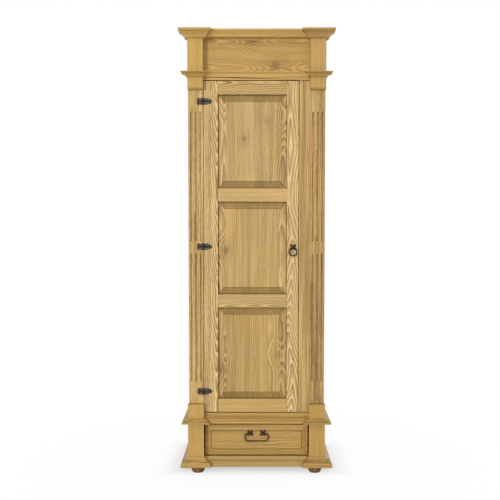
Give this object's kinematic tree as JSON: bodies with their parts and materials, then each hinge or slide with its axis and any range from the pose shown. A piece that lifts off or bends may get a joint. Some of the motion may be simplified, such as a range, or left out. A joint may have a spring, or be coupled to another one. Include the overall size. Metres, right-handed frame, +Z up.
{
  "type": "pine wardrobe",
  "caption": "Tall narrow pine wardrobe with a panelled door, fluted pilasters, mitred cornice and mouldings, and a drawer under the door.",
  "frame": {"origin": "on the floor, under the middle of the box round the whole wardrobe", "axes": "+Z up, the front with the door faces -Y, +X to the right when one looks at the front"},
  "size_m": [0.695, 0.6, 2],
  "materials": {
    "pine": "honey waxed pine, satin",
    "pale_pine": "light waxed pine, satin",
    "raw_pine": "planed pine without wax, matt",
    "turned_wood": "red-brown stained wood, satin",
    "iron": "blackened and waxed, hammered",
    "steel": "bright plated",
    "plastic": "moulded, brown"
  },
  "bodies": {
    "cabinet": {"left_side_panel": "pine", "right_side_panel": "pine", "back_panel": "raw_pine", "top_board": "pine", "cabinet_floor": "raw_pine", "base_board": "raw_pine", "shelf": "raw_pine", "left_pilaster": "pine", "right_pilaster": "pine", "closing_stile": "pale_pine", "upper_left_block": "pine", "upper_right_block": "pine", "lower_left_block": "pine", "lower_right_block": "pine", "frieze_board": "pine", "cornice_left": "pine", "cornice_centre": "pine", "cornice_right": "pine", "architrave_centre": "pine", "waist_left": "pine", "waist_centre": "pine", "waist_right": "pine", "base_left": "pine", "base_centre": "pine", "base_right": "pine", "front_left_foot": "turned_wood", "front_right_foot": "turned_wood", "rear_left_foot": "turned_wood", "rear_right_foot": "turned_wood", "left_drawer_runner": "raw_pine", "right_drawer_runner": "raw_pine", "hanging_rail": "steel", "left_rail_socket": "steel", "right_rail_socket": "steel", "door_magnet": "plastic", "hinge_upper_frame_leaf": "iron", "hinge_middle_frame_leaf": "iron", "hinge_lower_frame_leaf": "iron"},
    "door": {"door_hinge_stile": "pale_pine", "door_lock_stile": "pale_pine", "door_rail_1": "pale_pine", "door_rail_2": "pale_pine", "door_rail_3": "pale_pine", "door_rail_4": "pale_pine", "door_panel_1": "pale_pine", "door_panel_2": "pale_pine", "door_panel_3": "pale_pine", "hinge_upper_door_leaf": "iron", "hinge_middle_door_leaf": "iron", "hinge_lower_door_leaf": "iron", "ring_rosette": "iron"},
    "ring": {"door_ring": "iron"},
    "drawer": {"drawer_front": "pine", "drawer_left_side": "raw_pine", "drawer_right_side": "raw_pine", "drawer_back": "raw_pine", "drawer_bottom": "raw_pine", "bail_left_rosette": "iron", "bail_right_rosette": "iron"},
    "bail": {"drawer_bail": "iron"}
  },
  "joints": [
    {"name": "door_hinge", "type": "hinge", "parent": "cabinet", "child": "door", "pos_m": [-0.24, -0.2463, 1.02975], "axis": [0, 0, -1], "range_deg": [0, 100]},
    {"name": "ring_swing", "type": "hinge", "parent": "door", "child": "ring", "pos_m": [0.1645, -0.2503, 1.03475], "axis": [-1, 0, 0], "range_deg": [0, 90]},
    {"name": "drawer_slide", "type": "slide", "parent": "cabinet", "child": "drawer", "axis": [0, -1, 0], "range_m": [0, 0.36]},
    {"name": "bail_swing", "type": "hinge", "parent": "drawer", "child": "bail", "pos_m": [0, -0.2503, 0.1835], "axis": [-1, 0, 0], "range_deg": [0, 90]}
  ]
}
